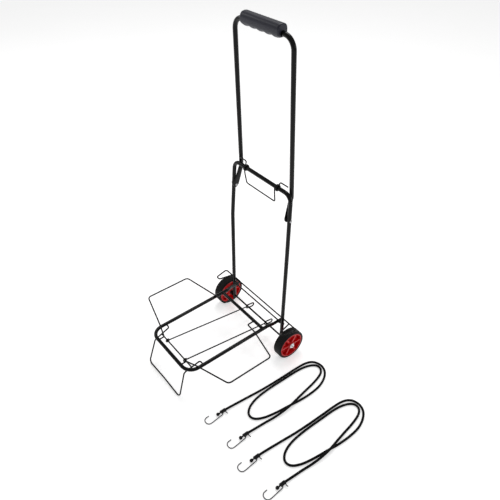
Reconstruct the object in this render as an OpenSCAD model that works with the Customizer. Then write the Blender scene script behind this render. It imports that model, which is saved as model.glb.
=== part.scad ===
// Folding luggage cart: a bent-tube handle that folds down behind a bent-tube
// lower frame, a load platform that folds up, a wire front stand that two links
// tuck away, wire side wings, wheels on one axle, and two elastic cords.
// X runs along the axle, the platform reaches towards -Y, Z is up.

/* [Wheels and axle] */
// Diameter of the wheels
wheel_d = 100; // [96:1:100]
// Width of the wheels
wheel_w = 30; // [26:1:30]
// Distance between the outer faces of the two wheels
track_w = 348; // [344:1:352]
// Diameter of the axle rod
axle_d = 6; // [5:0.5:6]

/* [Tubes and wire] */
// Outer diameter of the handle's tube
handle_d = 12.7; // [12:0.1:13]
// Outer diameter of the lower frame's tube
leg_d = 12; // [11.5:0.1:12.2]
// Outer diameter of the platform's tube
deck_d = 11; // [10.5:0.1:11]
// Wall of every tube
wall = 1; // [0.8:0.1:1.2]
// Diameter of the stand, wing, link and guard wires
wire_d = 4.6; // [4:0.1:4.6]
// Diameter of the latch wire
latch_wire_d = 3.2; // [2.8:0.1:3.2]

/* [Handle] */
// Height of the centre line of the handle's top
handle_top = 982; // [970:1:990]
// Length of the grip
grip_len = 140; // [110:1:144]
// Height of the grip's section
grip_h = 33; // [30:1:36]
// Depth of the grip's section, front to back
grip_w = 30; // [28:1:32]

/* [Platform] */
// Distance from the axle to the centre line of the platform's front tube
deck_reach = 338; // [336:1:340]
// Half width of the platform at its front corners
deck_half = 103.7; // [103:0.1:104]
// Bend radius of the platform's front corners
deck_bend = 35; // [32:1:36]
// Half width over the side wings
wing_half = 220; // [200:1:230]

/* [Elastic cords] */
// Diameter of the elastic cords
cord_d = 7; // [6:0.5:7]

/* [Hidden] */
$fn = 48;
wheel_r = wheel_d / 2;
axle_r = axle_d / 2;
leg_r = leg_d / 2;
handle_r = handle_d / 2;
deck_r = deck_d / 2;
wire_r = wire_d / 2;
latch_r = latch_wire_d / 2;
run = 0.05;   // radial clearance of a pin that turns in its hole
gap = 0.3;    // clearance between pieces that move past each other
skin = 2;     // how far a cutter runs past the surface it cuts

// The stand's foot is the cart's foremost point and the wheels its rearmost, and
// the origin lies half way between them on the floor.
foot_reach = 367.3;
axle_y = (foot_reach + wire_r - wheel_r) / 2;

// Lower frame: half widths, depths and heights of its bends, from the axle up.
leg_end = [124, 0, 40];
leg_kink = [127.5, 3.2, 391];
leg_top = [122, 10.9, 578.7];
kink_bend = 160;
top_bend = 24;
function leg_at(z) = z < leg_kink.z
    ? leg_end + (leg_kink - leg_end) * (z - leg_end.z) / (leg_kink.z - leg_end.z)
    : leg_kink + (leg_top - leg_kink) * (z - leg_kink.z) / (leg_top.z - leg_kink.z);

// Handle: each leg leans forward from its flattened foot to the grip.
handle_lean = 0.0411;
handle_corner = [107.5, 8.1, handle_top];
handle_foot_z = 566;
handle_foot = [109.2, 8.1 + handle_lean * (handle_top - handle_foot_z), handle_foot_z];
handle_bend = 30;
pivot_z = 503;
pivot_y = leg_at(pivot_z).y;
foot_plate_t = 3.2;
grip_rise = 5; // the grip's middle above the tube's centre line
foot_plate_x = 111.8;
foot_plate_r = 9.5;
hull_lip = 0.06; // keeps a flattened end's facets outside the round tube

// Platform: its plane rises a little from the front tube to its pivots.
deck_front_z = 104.2;
deck_rise = 6.6 / deck_reach;
function deck_z(y) = deck_front_z + (y + deck_reach) * deck_rise;
deck_side_x = 105.5;
deck_end_y = -44;
hinge_z = 110.4;
hinge_y = leg_at(hinge_z).y;
deck_plate_t = 3.2;
deck_plate_x = 108;
deck_plate_h = 14;
crossbar_y = -62;
crossbar_r = 5.3;
guard_z = hinge_z + deck_plate_h / 2 + wire_r;
guard_y = 7.2 + wire_r;

// Rivets
rivet_r = 3;
rivet_head_r = 4.8;
rivet_head_t = 2.2;

// Wheels
wheel_out = track_w / 2;
wheel_in = wheel_out - wheel_w;
rim_r = 43;
boss_out = 1.6;
boss_in = 2.6;
cap_t = 4.2;

// Stand: its pins turn in the platform's side tubes.
stand_pin = [101.5, -285.5, 105];
stand_arm = [85.5, -285.5, 105];
stand_elbow = [82, -340, 88.5];
stand_foot = [87, -foot_reach, wire_r];
stand_mid_rise = 4.5;
crank_y = -314.5;
crank = stand_arm + (stand_elbow - stand_arm)
        * (crank_y - stand_arm.y) / (stand_elbow.y - stand_arm.y);

// Links between the stand's crank bar and the axle
link_x = 49;
link_eye_r = 2 * wire_r + 0.4;
link_slot_len = 18.6;
link_slot_r = axle_r + wire_r + 1.5;
link_slot_up = 0.7;
ring_r = wire_r + 0.05;

// Latch wire on the lower frame's crossbar
latch_coil_x = 65;
latch_ring_r = leg_r + latch_r + gap + 0.1;
latch_bail_drop = 46;
latch_horn = [70.5, 15.9, 595.9];
latch_horn_end = 104;

// Elastic cord: its route on the floor, with a hook at each end. The second cord
// lies beside the first.
hook_len = 18;
hook_r = 5.4;
hook_wire_r = 1.5;
cord_z = cord_d / 2;
cord_route = [
    [209.5, -127, 5.4], [210, -112, 4.6], [212, -84, 3.5], [216, -44, 3.5],
    [220, -4, 3.5], [222.5, 40, 3.5], [224, 90, 3.5], [225, 140, 3.5],
    [228, 172, 3.5], [236, 192, 3.5], [250, 203, 3.5], [270, 206, 3.5],
    [291, 197, 3.5], [308, 175, 3.5], [319, 144, 3.5], [322, 106, 3.5],
    [320, 66, 3.5], [314, 24, 3.5], [308, -20, 3.5], [300, -54, 3.5],
    [288, -77, 3.5], [273, -85, 3.5], [257, -79, 3.5], [243, -59, 3.5],
    [234, -26, 3.5], [231, 20, 3.5], [232, 80, 3.5], [234, 138, 3.5],
    [241, 172, 3.5], [253, 192, 3.5], [267, 197, 3.5], [281, 190, 3.5],
    [291, 172, 3.5], [299, 140, 3.5], [304.5, 104, 3.5], [311, 70, 6.5],
    [318, 38, 10.9], [320.2, 4.3, 8.5], [318, -31, 4.5], [314.5, -62, 3.6],
    [312, -98, 4.2], [310.5, -122, 5.4]];
cord_hook_1 = [209.2, -136, hook_r];
cord_hook_2 = [310.2, -131, hook_r];
cord_2_shift = [173, -14, 0];

black = [0.07, 0.07, 0.075];
zinc = [0.8, 0.81, 0.82];
red = [0.75, 0.05, 0.06];

function unit(v) = v / norm(v);
function flip(p) = [-p.x, p.y, p.z];

// Everything is drawn with the axle at y = 0, then moved to the row's origin.
module on_axle() { translate([0, axle_y, 0]) children(); }
module left_side() { mirror([1, 0, 0]) children(); }

// Children drawn at o, with their X along x and their Z along z
module placed(o, x, z) {
    y = cross(z, x);
    multmatrix([[x.x, y.x, z.x, o.x], [x.y, y.y, z.y, o.y], [x.z, y.z, z.z, o.z],
        [0, 0, 0, 1]]) children();
}

// Round bar from a to b. An end that runs on into a bend laps into it with a collar
// a hair larger than the bar, which joins the two.
lap = 0.3;
collar = 0.05;
module bar(a, b, r, lap_a = false, lap_b = false) {
    z = unit(b - a);
    h = norm(b - a);
    side = abs(z.x) < 0.9 ? [1, 0, 0] : [0, 1, 0];
    near = lap_a ? [[0, -lap], [r + collar, -lap], [r + collar, lap], [r, lap]]
        : [[0, 0], [r, 0]];
    far = lap_b ? [[r, h - lap], [r + collar, h - lap], [r + collar, h + lap],
        [0, h + lap]] : [[r, h], [0, h]];
    placed(a, unit(cross(side, z)), z) rotate_extrude() polygon(concat(near, far));
}

// Quarter or part torus that turns a bar at p from direction u to direction v
module elbow(p, u, v, bend, r) {
    turn = acos(u * v);
    centre = p + unit(v - u) * bend / cos(turn / 2);
    start = p - u * bend * tan(turn / 2);
    placed(centre, unit(start - centre), unit(cross(u, v)))
        rotate_extrude(angle = turn) translate([bend, 0]) circle(r = r);
}

// Bent rod along points, with one bend radius for each inner point
module rod(points, bends, r) {
    last = len(points) - 1;
    dirs = [for (i = [0:last - 1]) unit(points[i + 1] - points[i])];
    cut = [for (i = [0:last]) i == 0 || i == last ? 0
        : bends[i - 1] * tan(acos(dirs[i - 1] * dirs[i]) / 2)];
    for (i = [0:last - 1])
        bar(points[i] + dirs[i] * cut[i], points[i + 1] - dirs[i] * cut[i + 1], r,
            i > 0, i < last - 1);
    for (i = [1:last - 1])
        elbow(points[i], dirs[i - 1], dirs[i], bends[i - 1], r);
}

// Solid of revolution about an axis along X through (y, z), profile [radius, x]
module turned(y, z, profile) {
    translate([0, y, z]) rotate([90, 0, 90]) rotate_extrude() polygon(profile);
}

// Hole along X through (y, z)
module cross_hole(x0, x1, y, z, r) {
    translate([x0, y, z]) rotate([0, 90, 0]) cylinder(r = r, h = x1 - x0);
}

// ---- lower frame ----

function leg_path(drop) = [leg_end - [0, 0, drop], leg_kink, leg_top,
    flip(leg_top), flip(leg_kink), flip(leg_end - [0, 0, drop])];

module lower_frame() {
    bends = [kink_bend, top_bend, top_bend, kink_bend];
    color(black) on_axle() difference() {
        rod(leg_path(0), bends, leg_r);
        rod(leg_path(skin), bends, leg_r - wall);
        for (s = [-1, 1]) {
            cross_hole(s * 124 - 10, s * 124 + 10, 0, wheel_r, axle_r + run);
            cross_hole(s * 124 - 10, s * 124 + 10, hinge_y, hinge_z, rivet_r + run);
            cross_hole(s * 124 - 10, s * 124 + 10, pivot_y, pivot_z, rivet_r + run);
        }
    }
}

module leg_plug() {
    up = unit(leg_kink - leg_end);
    color(black) on_axle() placed(leg_end, unit(cross([0, 1, 0], up)), up) {
        translate([0, 0, -2.5]) cylinder(r = leg_r, h = 2.5);
        cylinder(r = leg_r - wall - run, h = 4);
    }
}

// Rivet from x0 to x1 between its heads, domed at both ends
module rivet(x0, x1, y, z) {
    turned(y, z, [[0, x0 - rivet_head_t], [rivet_head_r * 0.6, x0 - rivet_head_t],
        [rivet_head_r, x0 - rivet_head_t * 0.35], [rivet_head_r, x0],
        [rivet_r, x0], [rivet_r, x1], [rivet_head_r, x1],
        [rivet_head_r, x1 + rivet_head_t * 0.35],
        [rivet_head_r * 0.6, x1 + rivet_head_t], [0, x1 + rivet_head_t]]);
}

module handle_rivet() {
    color(zinc) on_axle() rivet(foot_plate_x - gap, leg_at(pivot_z).x + leg_r + 0.2,
        pivot_y, pivot_z);
}

module handle_washer() {
    x0 = foot_plate_x + foot_plate_t + gap;
    x1 = leg_at(pivot_z).x - leg_r - gap;
    color(black) on_axle() turned(pivot_y, pivot_z,
        [[rivet_r + run, x0], [8, x0], [8, x1], [rivet_r + run, x1]]);
}

module deck_rivet() {
    color(black) on_axle() rivet(deck_plate_x - gap, leg_at(hinge_z).x + leg_r + 0.1,
        hinge_y, hinge_z);
}

module deck_spacer() {
    x0 = deck_plate_x + deck_plate_t + gap;
    x1 = leg_at(hinge_z).x - leg_r - 0.1;
    color(black) on_axle() turned(hinge_y, hinge_z,
        [[rivet_r + run, x0], [7, x0], [6, x1 - 1], [6, x1], [rivet_r + run, x1]]);
}

// ---- axle ----

axle_end = wheel_out + boss_out + gap + 2.4;

module axle() {
    color(black) on_axle() cross_hole(-axle_end, axle_end, 0, wheel_r, axle_r);
}

module axle_spacer() {
    x0 = leg_end.x + leg_r + 0.2;
    x1 = wheel_in - boss_in - gap;
    color([0.25, 0.25, 0.26]) on_axle() turned(0, wheel_r,
        [[axle_r + run, x0], [7.5, x0], [7.5, x0 + 2], [6.5, x0 + 3], [6.5, x1 - 2],
        [8, x1 - 1], [8, x1], [axle_r + run, x1]]);
}

// Push-on cap: a flange, a dome and a blind hole for the axle's end
module axle_cap() {
    x0 = wheel_out + boss_out + gap;
    x1 = axle_end;
    color(zinc) on_axle() turned(0, wheel_r,
        [[axle_r, x0], [8.6, x0], [8.6, x0 + 0.9], [6.8, x0 + 1.3],
        [6.2, x0 + 3], [4.4, x0 + cap_t], [0, x0 + cap_t], [0, x1], [axle_r, x1]]);
}

// ---- handle ----

// The leg's foot: it flattens down to a plate, whose round end takes the rivet
module handle_foot_plate() {
    neck_z = pivot_z + 14;
    hull() {
        placed(handle_foot, [1, 0, 0], unit(handle_corner - handle_foot))
            cylinder(r = handle_r + hull_lip, h = 0.5, $fn = 32);
        translate([foot_plate_x, pivot_y - foot_plate_r, neck_z])
            cube([foot_plate_t, 2 * foot_plate_r, 1]);
    }
    hull() {
        translate([foot_plate_x, pivot_y - foot_plate_r, neck_z])
            cube([foot_plate_t, 2 * foot_plate_r, 1]);
        cross_hole(foot_plate_x, foot_plate_x + foot_plate_t, pivot_y, pivot_z,
            foot_plate_r, $fn = 32);
    }
}

module handle_tube() {
    lean = unit(handle_corner - handle_foot);
    outer_foot = handle_foot + lean * 0.2;
    inner_foot = handle_foot + lean * 4;
    color(black) on_axle() difference() {
        union() {
            rod([outer_foot, handle_corner, flip(handle_corner), flip(outer_foot)],
                [handle_bend, handle_bend], handle_r);
            handle_foot_plate();
            left_side() handle_foot_plate();
        }
        rod([inner_foot, handle_corner, flip(handle_corner), flip(inner_foot)],
            [handle_bend, handle_bend], handle_r - wall);
        for (s = [-1, 1])
            cross_hole(s * 113.4 - 6, s * 113.4 + 6, pivot_y, pivot_z, rivet_r + run);
    }
}

// Moulded grip: a rounded section that stands higher above the tube than below it,
// with finger hollows underneath
module grip() {
    hollow_r = 22;
    pitch = grip_len / 5.6;
    round_r = 9;
    color([0.12, 0.13, 0.17]) on_axle() translate([0, handle_corner.y, handle_top])
        difference() {
            translate([0, 0, grip_rise]) rotate([90, 0, 90])
                linear_extrude(height = grip_len, center = true)
                    offset(r = round_r, $fn = 32) offset(delta = -round_r)
                        square([grip_w, grip_h], center = true);
            for (i = [-2:2])
                translate([i * pitch, 0, grip_rise - grip_h / 2 - hollow_r + 2.2])
                    rotate([90, 0, 0]) cylinder(r = hollow_r, h = 60, center = true);
            cross_hole(-grip_len, grip_len, 0, 0, handle_r);
        }
}

// ---- latch ----

// Each side of the bail: a coil round the crossbar, whose one end runs down to the
// bail's bar and whose other end rises to a horn in front of the handle's leg
module latch_side() {
    centre = [latch_coil_x, leg_top.y, leg_top.z];
    pitch = latch_wire_d - 0.3;
    turn_r = latch_r + 0.1;
    bottom_z = leg_top.z - latch_bail_drop;
    translate(centre) rotate([90, 0, 90]) rotate_extrude()
        for (i = [0:2]) translate([latch_ring_r, i * pitch]) circle(r = turn_r);
    rod([centre + [0, -latch_ring_r, 2], centre + [0, -latch_ring_r, -8],
        [latch_coil_x - 3, 8, bottom_z], [0, 8, bottom_z]], [40, 6], latch_r);
    top = centre + [2 * pitch, 0, latch_ring_r];
    rod([top, latch_horn + [pitch, 0, 0], [latch_horn_end, latch_horn.y, latch_horn.z]],
        [5], latch_r);
}

module latch_wire() {
    color(black) on_axle() {
        latch_side();
        left_side() latch_side();
    }
}

// ---- platform ----

function deck_path(y_end) = [[deck_side_x, y_end, deck_z(y_end)],
    [deck_half, -deck_reach, deck_front_z], [-deck_half, -deck_reach, deck_front_z],
    [-deck_side_x, y_end, deck_z(y_end)]];

module deck_plate() {
    end = [deck_side_x, deck_end_y, deck_z(deck_end_y)];
    hull() {
        placed(end, [1, 0, 0], unit([0, 1, deck_rise]))
            cylinder(r = deck_r + hull_lip, h = 0.5, $fn = 32);
        translate([deck_plate_x, -24, hinge_z - deck_plate_h / 2])
            cube([deck_plate_t, 1, deck_plate_h]);
    }
    translate([deck_plate_x, -23.5, hinge_z - deck_plate_h / 2])
        cube([deck_plate_t, 34, deck_plate_h]);
}

module deck_tube() {
    color(black) on_axle() difference() {
        union() {
            rod(deck_path(deck_end_y + 0.2), [deck_bend, deck_bend], deck_r);
            deck_plate();
            left_side() deck_plate();
        }
        rod(deck_path(deck_end_y - 3), [deck_bend, deck_bend], deck_r - wall);
        for (s = [-1, 1]) {
            cross_hole(s * 109.6 - 6, s * 109.6 + 6, hinge_y, hinge_z, rivet_r + run);
            bar([s * 96, stand_pin.y, stand_pin.z], [s * 104, stand_pin.y, stand_pin.z],
                wire_r + run);
            bar([s * wing_axis_x, -deck_reach, deck_front_z],
                [s * wing_axis_x, -deck_reach + 9, deck_z(-deck_reach + 9)],
                wire_r + run);
        }
    }
}

module deck_crossbar() {
    centre_z = deck_z(crossbar_y);
    color(black) on_axle() difference() {
        cross_hole(-deck_side_x, deck_side_x, crossbar_y, centre_z, crossbar_r);
        cross_hole(-deck_side_x - skin, deck_side_x + skin, crossbar_y, centre_z,
            crossbar_r - wall);
        for (s = [-1, 1])
            bar([s * deck_side_x, deck_end_y + 9, deck_z(deck_end_y + 9)],
                [s * deck_half, -deck_reach, deck_front_z], deck_r + collar);
        for (s = [-1, 1])
            bar([s * wing_axis_x, crossbar_y, centre_z],
                [s * wing_axis_x, crossbar_y - 9, deck_z(crossbar_y - 9)], wire_r + run);
    }
}

// Rear guard: lies on the platform's end plates behind the frame's legs, stops the
// platform at level, and its two tongues keep a load off the wheels.
module guard_wire() {
    right = [[147.5, guard_y - 0.6, guard_z + 0.5], [158, -38, guard_z], [172, -38, guard_z],
        [182, guard_y, guard_z]];
    left = [for (i = [3:-1:0]) flip(right[i])];
    color(black) on_axle() rod(concat(right, left), [6, 6, 7, 7, 6, 6], wire_r);
}

module cross_wire() {
    x = deck_plate_x + deck_plate_t;
    color(black) on_axle() cross_hole(-x, x, -6.8, guard_z, wire_r);
}

// ---- stand and links ----

module stand_wire() {
    mid = [0, -foot_reach, wire_r + stand_mid_rise];
    side = [stand_pin, stand_arm, stand_elbow, stand_foot];
    color(black) on_axle() rod(concat(side, [mid], [for (i = [3:-1:0]) flip(side[i])]),
        [6, 10, 12, 60, 12, 10, 6], wire_r);
}

module crank_bar() {
    color(black) on_axle() difference() {
        cross_hole(-crank.x, crank.x, crank.y, crank.z, wire_r);
        for (s = [-1, 1])
            bar([s * stand_arm.x, stand_arm.y, stand_arm.z],
                [s * stand_elbow.x, stand_elbow.y, stand_elbow.z], wire_r);
    }
}

// Link: a ring round the crank bar, a straight wire and a long loop over the axle
module link() {
    ring = [link_x, crank.y, crank.z];
    axle_p = [link_x, 0, wheel_r];
    along = unit(axle_p - ring);
    up = cross([1, 0, 0], along);
    near = axle_p + up * link_slot_up;
    far = near + along * link_slot_len;
    color(black) on_axle() {
        translate(ring) rotate([0, 90, 0])
            rotate_extrude() translate([link_eye_r, 0]) circle(r = ring_r);
        bar(ring + along * link_eye_r, near - along * link_slot_r, wire_r);
        for (s = [-1, 1])
            bar(near + up * s * link_slot_r, far + up * s * link_slot_r, ring_r, true, true);
        placed(near, up, [1, 0, 0])
            rotate_extrude(angle = 180) translate([link_slot_r, 0]) circle(r = ring_r);
        placed(far, -up, [1, 0, 0])
            rotate_extrude(angle = 180) translate([link_slot_r, 0]) circle(r = ring_r);
    }
}

// ---- wings ----

wing_axis_x = 62;
wing_front_y = -318;
wing_rear_y = -88;
wing_tip_z = 130;
wing_rest = deck_r + wire_r + 2 * gap; // height of a wing's wire over the side tube

module wing() {
    front_pin = [wing_axis_x, -deck_reach, deck_front_z];
    rear_pin = [wing_axis_x, crossbar_y, deck_z(crossbar_y)];
    color(black) on_axle() rod([front_pin,
        [wing_axis_x, wing_front_y, deck_z(wing_front_y)],
        [104.6, -306, deck_z(-306) + wing_rest],
        [wing_half, -279, wing_tip_z], [wing_half, -127, wing_tip_z],
        [105.2, -95, deck_z(-95) + wing_rest],
        [wing_axis_x, wing_rear_y, deck_z(wing_rear_y)], rear_pin],
        [5, 30, 12, 12, 30, 5], wire_r);
}

// ---- wheels ----

module tyre() {
    h = wheel_w / 2;
    tread = [for (s = [-1, 0, 1]) each [[wheel_r, s * 7 - 2.6], [wheel_r, s * 7 + 2.6],
        [wheel_r - 0.9, s * 7 + 2.9], [wheel_r - 0.9, s * 7 + 4.1]]];
    color(black) on_axle() translate([wheel_out - h, 0, wheel_r]) rotate([90, 0, 90])
        rotate_extrude($fn = 96) polygon(concat(
            [[rim_r, -h], [wheel_r - 2.2, -h], [wheel_r - 0.9, -h + 1.6],
            [wheel_r - 0.9, -9.9]], tread,
            [[wheel_r - 0.9, h - 1.6], [wheel_r - 2.2, h], [rim_r, h]]));
}

module hub() {
    h = wheel_w / 2;
    spokes = 6;
    color(red) on_axle() translate([wheel_out - h, 0, wheel_r]) rotate([90, 0, 90])
        difference() {
            union() {
                rotate_extrude($fn = 96)
                    polygon([[rim_r - 4, -h], [rim_r, -h], [rim_r, h], [rim_r - 4, h]]);
                rotate_extrude($fn = 96)
                    polygon([[0, -h - boss_in], [10, -h - boss_in], [12, -2.5],
                        [rim_r - 3, -2.5], [rim_r - 3, 2.5], [13, 2.5],
                        [11, h + boss_out], [0, h + boss_out]]);
                for (i = [0:spokes - 1])
                    rotate([0, 0, i * 360 / spokes])
                        translate([10, -3, -h + 3]) cube([rim_r - 12, 6, 2 * h - 5]);
            }
            translate([0, 0, -h - skin - boss_in])
                cylinder(r = axle_r + run, h = 2 * h + 2 * skin + boss_in + boss_out);
        }
}

// ---- elastic cords ----

module second_cord() { translate(cord_2_shift) children(); }

// Round tube of straight-sided rings swept along the cord's route
module cord() {
    sides = 8;
    last = len(cord_route) - 1;
    ring = [for (i = [0:last])
        let (ahead = unit(cord_route[min(i + 1, last)] - cord_route[max(i - 1, 0)]),
            across = unit(cross(ahead, [0, 0, 1])), up = cross(across, ahead))
        for (k = [0:sides - 1])
            cord_route[i] + cord_z * (across * cos(360 * (k + 0.5) / sides)
                + up * sin(360 * (k + 0.5) / sides))];
    walls = [for (i = [0:last - 1], k = [0:sides - 1])
        let (n = (k + 1) % sides)
        [i * sides + k, (i + 1) * sides + k, (i + 1) * sides + n, i * sides + n]];
    color(black) polyhedron(ring, concat(walls,
        [[for (k = [0:sides - 1]) k]],
        [[for (k = [sides - 1:-1:0]) last * sides + k]]));
}

// Hook: the wire's close coil round the cord's end, the open J it runs out to, and
// the short tail that the coil starts with
module hook(o) {
    low = hook_wire_r - hook_r;
    shank = 44;
    bottom = 60;
    color(black) translate(o) {
        rotate([-90, 0, 0]) rotate_extrude() polygon(concat([[0, -hook_len / 2]],
            [for (i = [-3:3]) each [[hook_r - 0.8, i * 2.5 - 1.2], [hook_r, i * 2.5]]],
            [[hook_r - 0.8, hook_len / 2], [0, hook_len / 2]]));
        rod([[4, -2, 0], [8.5, -8, -1], [10, -shank, low], [10, -bottom, low],
            [-13, -bottom, low], [-14, -bottom + 19, low]], [3, 40, 10.5, 10.5],
            hook_wire_r);
        bar([3, 1, 0], [15, 6, 0], hook_wire_r + 0.1);
    }
}

// Knob: a thin neck and the cord's swollen end beyond the coil
module knob(o) {
    color(black) translate(o + [0, -hook_len / 2, 0]) rotate([90, 0, 0])
        rotate_extrude() polygon([[0, 0], [2.2, 0], [2.2, 4.5], [4.4, 6], [4.9, 8],
            [4.9, 11], [3.6, 13.2], [0, 14.2]]);
}

lower_frame();
left_side() leg_plug();  // leg_plug_l
leg_plug();  // leg_plug_r
left_side() handle_rivet();  // handle_rivet_l
handle_rivet();  // handle_rivet_r
left_side() handle_washer();  // handle_washer_l
handle_washer();  // handle_washer_r
left_side() deck_rivet();  // deck_rivet_l
deck_rivet();  // deck_rivet_r
left_side() deck_spacer();  // deck_spacer_l
deck_spacer();  // deck_spacer_r
axle();
left_side() axle_spacer();  // axle_spacer_l
axle_spacer();  // axle_spacer_r
left_side() axle_cap();  // axle_cap_l
axle_cap();  // axle_cap_r
handle_tube();
grip();
latch_wire();
deck_tube();
deck_crossbar();
guard_wire();
cross_wire();
stand_wire();
crank_bar();
left_side() link();  // link_l
link();  // link_r
left_side() wing();  // wing_l
wing();  // wing_r
left_side() tyre();  // tyre_l
tyre();  // tyre_r
left_side() hub();  // hub_l
hub();  // hub_r
cord();  // cord_1
hook(cord_hook_1);  // cord_1_hook_a
hook(cord_hook_2);  // cord_1_hook_b
knob(cord_hook_1);  // cord_1_knob_a
knob(cord_hook_2);  // cord_1_knob_b
second_cord() cord();  // cord_2
second_cord() hook(cord_hook_1);  // cord_2_hook_a
second_cord() hook(cord_hook_2);  // cord_2_hook_b
second_cord() knob(cord_hook_1);  // cord_2_knob_a
second_cord() knob(cord_hook_2);  // cord_2_knob_b
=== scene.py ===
"""Folding luggage cart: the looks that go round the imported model.

Lengths are in metres in the row's frame: X along the wheels' axle, -Y towards the front of
the load platform, Z up, and the floor at z = 0. Routes are written in millimetres with y
counted from the axle, as the cart is dimensioned, and `at` turns them into metres.
"""
import math

import bmesh
import bpy
import numpy as np
from mathutils import Matrix


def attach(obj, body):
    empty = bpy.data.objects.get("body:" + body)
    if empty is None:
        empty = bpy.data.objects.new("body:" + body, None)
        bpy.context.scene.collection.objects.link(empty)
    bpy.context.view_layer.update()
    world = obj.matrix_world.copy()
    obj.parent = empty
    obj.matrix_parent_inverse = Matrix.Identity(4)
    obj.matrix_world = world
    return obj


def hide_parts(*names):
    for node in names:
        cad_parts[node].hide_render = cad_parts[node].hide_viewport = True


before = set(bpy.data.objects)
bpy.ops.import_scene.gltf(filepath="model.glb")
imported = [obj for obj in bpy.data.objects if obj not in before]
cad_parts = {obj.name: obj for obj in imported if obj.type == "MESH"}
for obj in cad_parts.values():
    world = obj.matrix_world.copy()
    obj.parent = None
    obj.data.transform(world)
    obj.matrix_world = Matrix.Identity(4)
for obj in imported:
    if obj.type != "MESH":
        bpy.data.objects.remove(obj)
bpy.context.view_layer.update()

AXLE_Y = 159.8       # mm, from the row's origin to the axle
AXLE_Z = 50.0        # mm, the wheels' radius
TAU = 2 * math.pi
SHARP_EDGE = math.radians(38)      # faces that meet at more than this are shaded apart
BEND_STEP = 0.16     # radians between the points of a bend
WIRE_R = 2.3         # mm, the radius of the stand, wing, link and guard wires


def at(points):
    """Points in mm with y from the axle, to metres in the row's frame."""
    return (np.asarray(points, float) + (0, AXLE_Y, 0)) / 1000


# ---- camera and floor ----

def add_camera(place, azimuth, elevation, lens):
    """A camera at place, looking along minus its back vector.

    back = (sin a cos e, -cos a cos e, sin e), right = (cos a, sin a, 0), up = back x right.
    """
    a, e = math.radians(azimuth), math.radians(elevation)
    back = np.array([math.sin(a) * math.cos(e), -math.cos(a) * math.cos(e), math.sin(e)])
    right = np.array([math.cos(a), math.sin(a), 0.0])
    turn = np.eye(4)
    turn[:3, :3] = np.column_stack([right, np.cross(back, right), back])
    turn[:3, 3] = place
    camera = bpy.data.objects.new("camera", bpy.data.cameras.new("camera"))
    camera.matrix_world = Matrix(turn.tolist())
    camera.data.lens = lens
    camera.data.sensor_width = 36
    camera.data.dof.use_dof = False
    bpy.context.scene.collection.objects.link(camera)
    bpy.context.scene.camera = camera


add_camera((0.9976, -0.6616, 1.3616), 51.56, 38.68, 39.2)


# ---- shader arithmetic ----

class Val:
    """A shader socket that Python's operators build Math nodes on."""

    def __init__(self, paint, socket):
        self.paint, self.socket = paint, socket

    def _math(self, operation, other, flipped=False):
        a, b = (other, self) if flipped else (self, other)
        return self.paint.node("ShaderNodeMath", {"operation": operation}, {0: a, 1: b})

    def __add__(self, other): return self._math("ADD", other)
    def __radd__(self, other): return self._math("ADD", other, True)
    def __sub__(self, other): return self._math("SUBTRACT", other)
    def __rsub__(self, other): return self._math("SUBTRACT", other, True)
    def __mul__(self, other): return self._math("MULTIPLY", other)
    def __pow__(self, other): return self._math("POWER", other)
    def most(self, other): return self._math("MAXIMUM", other)
    def sine(self): return self._math("SINE", 0.0)

    def ramp(self, low, high):
        """0 at low, 1 at high, and smooth between them."""
        return self.paint.node("ShaderNodeMapRange", {"interpolation_type": "SMOOTHSTEP"},
                               {"Value": self, "From Min": low, "From Max": high})


class Paint:
    """One material: its nodes, its shader, and the few helpers that every finish uses."""

    def __init__(self, name):
        self.material = bpy.data.materials.new(name)
        self.material.use_nodes = True
        self.tree = self.material.node_tree
        self.shader = self.tree.nodes["Principled BSDF"]

    def node(self, kind, settings, inputs, out=0):
        """Any node: its settings first, then the values or links of its sockets."""
        made = self.tree.nodes.new(kind)
        for key, value in settings.items():
            setattr(made, key, value)
        self.fill(made, inputs)
        return Val(self, made.outputs[out])

    def fill(self, made, inputs):
        """Sets or links each named socket of a node."""
        for key, value in inputs.items():
            if isinstance(value, Val):
                self.tree.links.new(value.socket, made.inputs[key])
            else:
                made.inputs[key].default_value = value

    def place(self, output="Object"):
        """The point's own coordinates: Object for solids, UV for woven pieces."""
        return self.node("ShaderNodeTexCoord", {}, {}, out=output)

    def part(self, vector, axis):
        """One coordinate of a vector."""
        return self.node("ShaderNodeSeparateXYZ", {}, {0: vector}, out=axis)

    def from_axle(self):
        """The point's distance from the axle's line, in metres."""
        where = self.place()
        y = self.part(where, 1) - AXLE_Y / 1000
        z = self.part(where, 2) - AXLE_Z / 1000
        return (y * y + z * z) ** 0.5

    def noise(self, scale, detail=3.0, rough=0.5):
        """Noise from 0 to 1, scale cells to the metre."""
        return self.node("ShaderNodeTexNoise", {},
                         {"Vector": self.place(), "Scale": scale,
                          "Detail": detail, "Roughness": rough})

    def mix(self, amount, first, second):
        """first where amount is 0 and second where it is 1, as colours."""
        return self.node("ShaderNodeMix", {"data_type": "RGBA"},
                         {0: amount, 6: first, 7: second}, out=2)

    def bump(self, height, strength, distance):
        """The shader's normal, raised by height in units of distance."""
        self.fill(self.shader, {"Normal": self.node(
            "ShaderNodeBump", {}, {"Height": height, "Strength": strength,
                                   "Distance": distance})})

    def finish(self, **inputs):
        """Sets the shader's sockets, by their names with spaces for underscores."""
        self.fill(self.shader, {key.replace("_", " "): value
                                for key, value in inputs.items()})
        return self.material


def rgb(r, g, b):
    """A linear colour with full alpha."""
    return (r, g, b, 1.0)


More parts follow.
